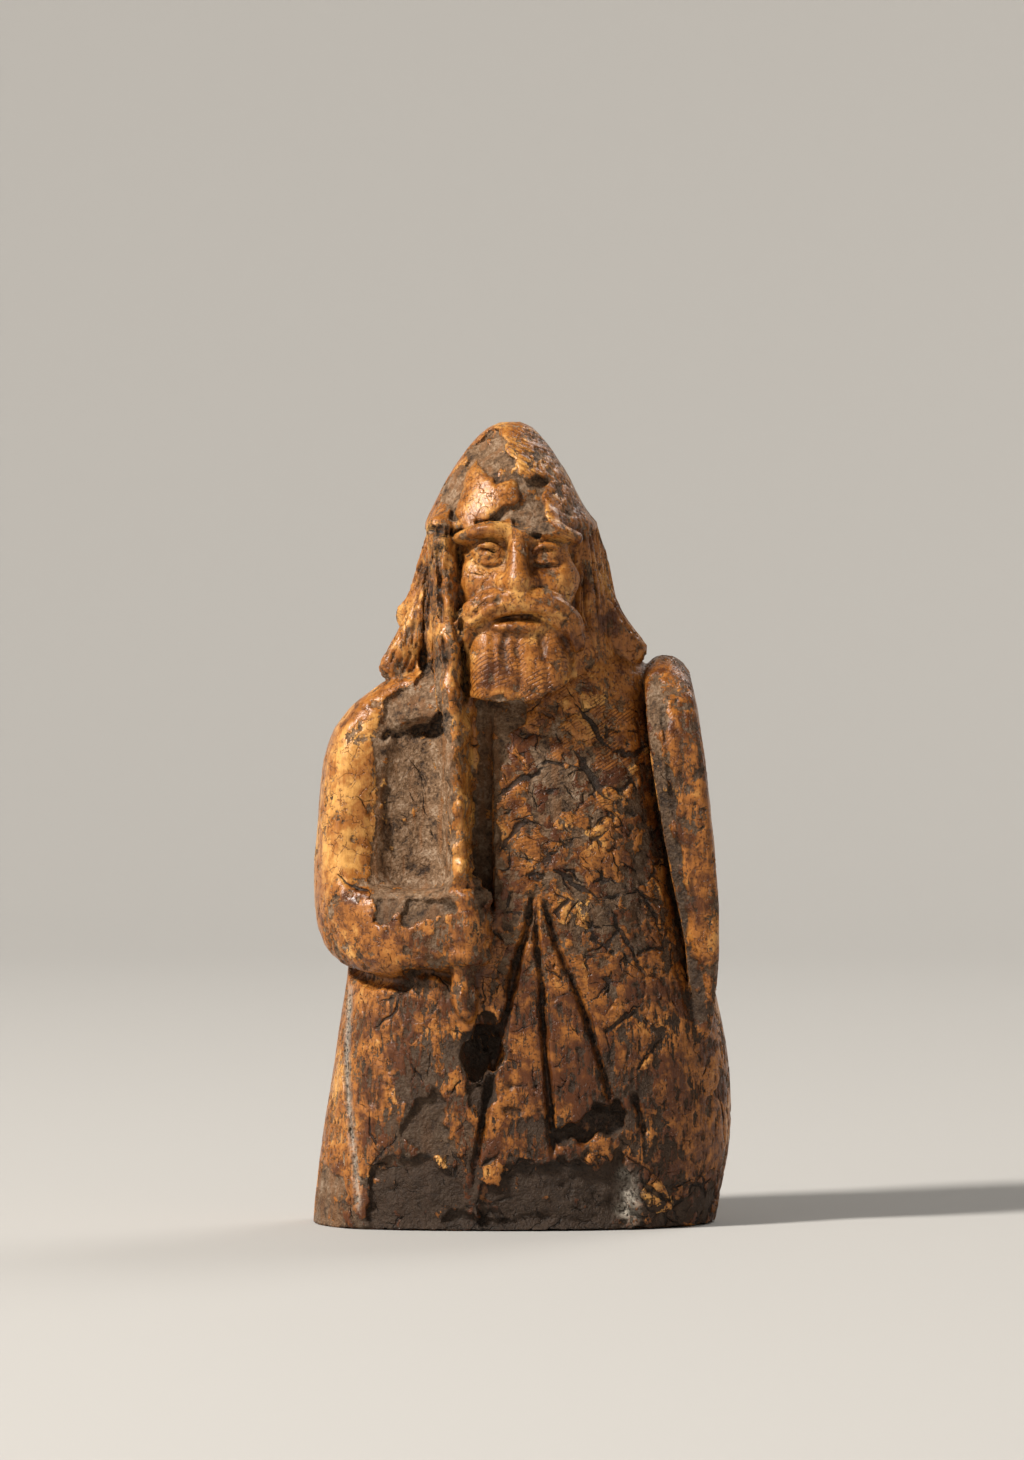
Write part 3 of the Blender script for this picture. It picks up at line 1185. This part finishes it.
def addFlakes(tree, place, plate):
    broad = addNoise(tree, place, 1 / flakes["size"], 6.0, 0.66)
    upright = addVector(tree, "MULTIPLY", place, (1.0, 1.0, flakes["stretch"]))
    strands = addNoise(tree, upright, 1 / flakes["strand"], 4.0, 0.7)
    streaked = times(tree, addMark(tree, "streaks"), minus(tree, strands, broad))
    pattern = addMath(tree, "ADD", broad, streaked)
    pattern = timesPlus(tree, minus(tree, pattern, 0.5), flakes["contrast"], 0.5)
    squat = addVector(tree, "MULTIPLY", place, (1.0, 1.0, flakes["chipStretch"]))
    loose = addVector(tree, "MULTIPLY_ADD", addSway(tree, place, 1.6, 2.0), (flakes["chipBend"],) * 3, squat)
    chip = addVector(tree, "DOT_PRODUCT", addCells(tree, loose, flakes["chip"]).outputs["Color"], (1, 0, 0))
    pattern = timesPlus(tree, minus(tree, chip, 0.5), flakes["byChip"], pattern)
    rubbed = times(tree, addRamp(tree, addMark(tree, "crease"), 0.3, 0.47, 1.0, 0.0), flakes["rubbed"])
    byPlate = times(tree, minus(tree, plate, 0.5), addMark(tree, "crackle"))
    byField = minus(tree, addNoise(tree, place, 1 / flakes["field"], 2.0, 0.5), 0.5)
    share = addMath(tree, "ADD", addMark(tree, "lossShare"), rubbed)
    share = timesPlus(tree, byPlate, flakes["byPlate"], share)
    share = timesPlus(tree, byField, flakes["byField"], share)
    standing = minus(tree, pattern, share)
    bared = addRamp(tree, standing, -flakes["edge"], flakes["edge"], 1.0, 0.0)
    grit = minus(tree, addNoise(tree, place, 1 / flakes["grit"], 4.0, 0.62), 0.5)
    return bared, timesPlus(tree, grit, flakes["gritContrast"], 0.5, clamp=True)


# The cracks, flakes and grit as relief
def weatherTree(material):
    tree = bpy.data.node_groups.new("weatheredSkin", "GeometryNodeTree")
    sockets = tree.interface
    sockets.new_socket("Geometry", in_out="INPUT", socket_type="NodeSocketGeometry")
    for name, value in (
        ("Plate size", cracks["plate"]),
        ("Crack half width", cracks["halfWidth"]),
        ("Crack depth", cracks["depth"]),
        ("Plate lift", cracks["lift"]),
        ("Flake depth", flakes["depth"]),
        ("Grit depth", flakes["gritDepth"]),
    ):
        sockets.new_socket(name, in_out="INPUT", socket_type="NodeSocketFloat").default_value = value
    sockets.new_socket("Geometry", in_out="OUTPUT", socket_type="NodeSocketGeometry")
    start = tree.nodes.new("NodeGroupInput").outputs
    inMm = addVector(tree, "SCALE", tree.nodes.new("GeometryNodeInputPosition").outputs[0], 1 / mm)
    line, plate = addCracks(tree, inMm, start["Plate size"], start["Crack half width"])
    bared, grit = addFlakes(tree, inMm, plate)
    depth = times(tree, line, start["Crack depth"])
    lift = times(tree, addMark(tree, "crackle"), start["Plate lift"])
    depth = timesPlus(tree, plate, lift, depth)
    coarse = timesPlus(tree, grit, start["Grit depth"], start["Flake depth"])
    depth = timesPlus(tree, bared, coarse, depth)
    normal = tree.nodes.new("GeometryNodeInputNormal").outputs[0]
    inward = addVector(tree, "SCALE", normal, times(tree, depth, -mm))
    move = tree.nodes.new("GeometryNodeSetPosition")
    tree.links.new(start["Geometry"], move.inputs["Geometry"])
    tree.links.new(inward, move.inputs["Offset"])
    real = tree.nodes.new("GeometryNodeRealizeInstances")
    tree.links.new(move.outputs[0], real.inputs[0])
    paint = tree.nodes.new("GeometryNodeSetMaterial")
    paint.inputs["Material"].default_value = material
    tree.links.new(real.outputs[0], paint.inputs["Geometry"])
    tree.links.new(paint.outputs[0], tree.nodes.new("NodeGroupOutput").inputs[0])
    return tree


ivory = {
    "deepPolish": (0.085, 0.024, 0.005, 1),
    "polish": (0.35, 0.125, 0.022, 1),
    "lightPolish": (0.68, 0.35, 0.095, 1),
    "bared": (0.215, 0.12, 0.058, 1),
    "baredDark": (0.03, 0.0145, 0.0065, 1),
    "baredPale": (0.46, 0.335, 0.23, 1),
    "stain": (0.25, 0.1, 0.028, 1),
    "crack": (0.018, 0.0105, 0.006, 1),
    "dust": (0.58, 0.52, 0.43, 1),
    "ringHeart": (-6.0, 0.0, 70.0),
    "ringWave": {"Scale": 0.95, "Distortion": 24.0, "Detail": 2.0, "Detail Scale": 0.07},
    "hairCrackRoom": 1.5,
    "hairCrackBend": 1.4,
    "refraction": 1.54,
    "shine": 0.3,
}

# How far each mark stands out of the surface, in millimetres
reliefHeights = {
    "flakes": -0.15,
    "cracks": -0.24,
    "grit": 0.2,
    "rings": -0.04,
    "hairCracks": -0.05,
    "strands": 0.03,
}


def addMix(tree, share, first, second):
    node = tree.nodes.new("ShaderNodeMix")
    node.data_type = "RGBA"
    for k, item in ((0, share), (6, first), (7, second)):
        plug(tree, item, node.inputs[k])
    return node.outputs[2]


def ivoryMaterial():
    material = bpy.data.materials.new("aged_ivory")
    material.use_nodes = True
    tree = material.node_tree
    shader = tree.nodes["Principled BSDF"]
    place = addVector(tree, "SCALE", tree.nodes.new("ShaderNodeTexCoord").outputs["Object"], 1 / mm)
    upright = addVector(tree, "MULTIPLY", place, (1.0, 1.0, flakes["stretch"]))
    line, plate = addCracks(tree, place, cracks["plate"], cracks["halfWidth"])
    bared, grit = addFlakes(tree, place, plate)
    age = addMark(tree, "age")

    # Polished colour: clouded, streaked along the grain, one plate unlike the next, darker where it has aged
    cloud = addNoise(tree, place, 0.26, 3.0, 0.55)
    mottle = addNoise(tree, place, 0.9, 5.0, 0.62)
    fine = addNoise(tree, upright, 3.0, 3.0, 0.6)
    tone = timesPlus(tree, cloud, 1.1, times(tree, mottle, 0.95))
    tone = timesPlus(tree, fine, 0.35, tone)
    tone = timesPlus(tree, age, -0.42, tone)
    plateTone = times(tree, minus(tree, plate, 0.5), -1.1)
    tone = timesPlus(tree, plateTone, addMark(tree, "crackle"), tone)
    polished = addMix(tree, addRamp(tree, tone, 0.66, 1.06), ivory["deepPolish"], ivory["polish"])
    polished = addMix(tree, addRamp(tree, tone, 1.0, 1.45), polished, ivory["lightPolish"])
    specks = addRamp(tree, addNoise(tree, place, 3.0, 3.0, 0.65), 0.56, 0.63)
    specks = times(tree, specks, addRamp(tree, age, 0.05, 0.55, 0.15, 0.9))
    polished = addMix(tree, specks, polished, ivory["deepPolish"])

    # Hair cracks, too fine for the mesh
    sway = addSway(tree, place, 1.1, 2.0)
    swayed = addVector(tree, "MULTIPLY_ADD", sway, (ivory["hairCrackBend"],) * 3, place)
    net = addCells(tree, swayed, ivory["hairCrackRoom"])
    net.feature = "DISTANCE_TO_EDGE"
    hairCrack = addRamp(tree, net.outputs["Distance"], 0.0, 0.045, 1.0, 0.0)
    hairCrack = times(tree, hairCrack, addRamp(tree, mottle, 0.46, 0.56, 1.0, 0.0))
    polished = addMix(tree, times(tree, hairCrack, 0.7), polished, ivory["deepPolish"])

    # Growth rings, as thin dark lines round a heart behind the beard
    rings = tree.nodes.new("ShaderNodeTexWave")
    rings.wave_type = "RINGS"
    rings.rings_direction = "SPHERICAL"
    fromHeart = addVector(tree, "SUBTRACT", place, ivory["ringHeart"])
    tree.links.new(fromHeart, rings.inputs["Vector"])
    for name, value in ivory["ringWave"].items():
        rings.inputs[name].default_value = value
    ringGate = addRamp(tree, addNoise(tree, place, 0.24, 2.0), 0.42, 0.56)
    ring = times(tree, addRamp(tree, rings.outputs["Fac"], 0.05, 0.5, 1.0, 0.0), ringGate)
    ring = times(tree, ring, addMark(tree, "rings"))
    polished = addMix(tree, times(tree, ring, 0.75), polished, ivory["deepPolish"])

    # Bared ivory: grey-brown, stained here and there, and dirty towards the hem
    patches = times(tree, addNoise(tree, place, 0.6, 5.0, 0.64), 0.7)
    patches = timesPlus(tree, grit, 0.3, patches)
    raw = addMix(tree, addRamp(tree, patches, 0.32, 0.54), ivory["baredDark"], ivory["bared"])
    raw = addMix(tree, addRamp(tree, patches, 0.48, 0.7, 0.0, 0.8), raw, ivory["baredPale"])
    stain = addRamp(tree, addNoise(tree, upright, 0.8, 3.0, 0.6), 0.5, 0.66, 0.0, 0.55)
    raw = addMix(tree, stain, raw, ivory["stain"])
    raw = addMix(tree, addRamp(tree, age, 0.35, 1.1, 0.0, 0.92), raw, ivory["baredDark"])
    colour = addMix(tree, bared, polished, raw)
    colour = addMix(tree, times(tree, line, 0.9), colour, ivory["crack"])

    # Dirt settles in the creases, dust in a few of them
    settled = times(tree, addRamp(tree, addMark(tree, "crease"), 0.53, 0.7), 0.7)
    deep = times(tree, addRamp(tree, addMark(tree, "hollow"), 0.62, 0.9), 0.4)
    dirt = addMath(tree, "MAXIMUM", addMath(tree, "MAXIMUM", settled, deep), addMark(tree, "grime"))
    dirt = times(tree, dirt, addRamp(tree, grit, 0.3, 0.62, 1.15, 0.65), clamp=True)
    colour = addMix(tree, dirt, colour, ivory["crack"])
    pale = times(tree, addMark(tree, "dust"), addRamp(tree, grit, 0.2, 0.6), clamp=True)
    colour = addMix(tree, pale, colour, ivory["dust"])
    tree.links.new(colour, shader.inputs["Base Color"])

    dull = addMath(tree, "MAXIMUM", addMath(tree, "MAXIMUM", bared, line), dirt)
    gloss = addRamp(tree, fine, 0.3, 0.7, 0.24, 0.38)
    roughness = addMath(tree, "ADD", gloss, times(tree, dull, 0.3))
    tree.links.new(roughness, shader.inputs["Roughness"])
    shader.inputs["IOR"].default_value = ivory["refraction"]
    shader.inputs["Specular IOR Level"].default_value = ivory["shine"]

    # One relief in millimetres: what has flaked off and cracked lies lower, and bared ivory is gritty
    grainy = times(tree, timesPlus(tree, bared, 0.85, 0.15), grit)
    relief = times(tree, bared, reliefHeights["flakes"])
    marks = {"cracks": line, "grit": grainy, "rings": ring, "hairCracks": hairCrack, "strands": fine}
    for name, value in marks.items():
        relief = timesPlus(tree, value, reliefHeights[name], relief)
    bump = tree.nodes.new("ShaderNodeBump")
    bump.inputs["Strength"].default_value = 1.0
    bump.inputs["Distance"].default_value = mm
    tree.links.new(relief, bump.inputs["Height"])
    tree.links.new(bump.outputs[0], shader.inputs["Normal"])
    return material


# The weathering goes into the mesh, which is then thinned: first the plainer sides, then what is flat
finish = {"triangles": 196000, "plainTriangles": 52000, "plainFrom": -0.12}


def finishFigure(piece, material):
    mesh = piece.data
    lie = np.empty(len(mesh.vertices) * 3, np.float32)
    mesh.attributes["lie"].data.foreach_get("vector", lie)
    plain = np.flatnonzero(lie[1::3] > finish["plainFrom"])
    piece.vertex_groups.new(name="plain").add(plain.tolist(), 1.0, "REPLACE")
    total = 2 * len(mesh.polygons)
    front = total * (1 - len(plain) / len(mesh.vertices))
    modifier = piece.modifiers.new("weather", "NODES")
    modifier.node_group = weatherTree(material)
    first = piece.modifiers.new("thinPlain", "DECIMATE")
    first.vertex_group = "plain"
    first.ratio = min(1.0, (front + finish["plainTriangles"]) / total)
    second = piece.modifiers.new("thin", "DECIMATE")
    second.ratio = min(1.0, finish["triangles"] / (front + finish["plainTriangles"]))
    bpy.context.view_layer.update()
    ready = bpy.data.meshes.new_from_object(piece.evaluated_get(bpy.context.evaluated_depsgraph_get()))
    piece.modifiers.clear()
    piece.vertex_groups.clear()
    piece.data = ready
    bpy.data.meshes.remove(mesh)
    ready.name = piece.name
    ready.shade_smooth()
    print("finished mesh,", len(ready.polygons), "faces, front had", round(front))


finishFigure(figure, ivoryMaterial())
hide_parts("carved_warder")
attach(figure, "root")


# A pale round floor that curves up into a wall on every side, so that each view has the same backdrop
stage = {
    "radius": 1.15,
    "bend": 0.55,
    "height": 0.75,
    "sides": 96,
    "steps": 16,
    "colour": (0.46, 0.45, 0.435, 1),
    "roughness": 0.9,
}


def buildStage():
    steps, sides = stage["steps"], stage["sides"]
    flat = stage["radius"] - stage["bend"]
    profile = [(flat / 2, 0.0), (flat, 0.0)]
    for i in range(1, steps + 1):
        turn = i / steps * math.pi / 2
        profile.append((flat + stage["bend"] * math.sin(turn), stage["bend"] * (1 - math.cos(turn))))
    profile.append((stage["radius"], stage["height"]))
    turns = [2 * math.pi * k / sides for k in range(sides)]
    places = [(0, 0, 0)] + [(r * math.cos(turn), r * math.sin(turn), z) for r, z in profile for turn in turns]
    faces = [(0, 1 + k, 1 + (k + 1) % sides) for k in range(sides)]
    for ring in range(len(profile) - 1):
        inner, outer = 1 + ring * sides, 1 + (ring + 1) * sides
        for k in range(sides):
            after = (k + 1) % sides
            faces.append((inner + k, outer + k, outer + after, inner + after))
    mesh = bpy.data.meshes.new("floor")
    mesh.from_pydata(places, [], faces)
    mesh.shade_smooth()
    floor = bpy.data.objects.new("floor", mesh)
    bpy.context.scene.collection.objects.link(floor)
    material = bpy.data.materials.new("pale_floor")
    material.use_nodes = True
    shader = material.node_tree.nodes["Principled BSDF"]
    shader.inputs["Base Color"].default_value = stage["colour"]
    shader.inputs["Roughness"].default_value = stage["roughness"]
    mesh.materials.append(material)


# Each light's place, size, power and colour, the place that they all point at, and the light of the world
studio = {
    "aim": (0, 0, 0.045),
    "key": [(-0.8, -0.52, 0.98), 0.2, 27.0, (1.0, 0.95, 0.88)],
    "fill": [(0.58, -0.7, 0.3), 0.6, 0.3, (1.0, 0.98, 0.96)],
    "rim": [(0.5, 0.6, 0.8), 0.5, 4.0, (1.0, 0.97, 0.92)],
    "world": (0.95, 0.94, 0.92, 1),
    "worldStrength": 0.12,
}


def addLight(name, place, size, power, colour):
    data = bpy.data.lights.new(name, "AREA")
    data.shape = "DISK"
    data.size = size
    data.energy = power
    data.color = colour
    light = bpy.data.objects.new(name, data)
    bpy.context.scene.collection.objects.link(light)
    light.location = place
    aim = np.array(studio["aim"]) - np.array(place)
    yaw = math.atan2(aim[1], aim[0]) - math.pi / 2
    pitch = math.atan2(aim[2], math.hypot(aim[0], aim[1]))
    light.rotation_euler = (math.pi / 2 + pitch, 0, yaw)


buildStage()
for name in ("key", "fill", "rim"):
    addLight(name, *studio[name])
world = bpy.data.worlds.new("studio")
world.use_nodes = True
sky = world.node_tree.nodes["Background"].inputs
sky["Color"].default_value = studio["world"]
sky["Strength"].default_value = studio["worldStrength"]
bpy.context.scene.world = world
bpy.context.scene.view_settings.view_transform = "Standard"
print("stage and lights set")
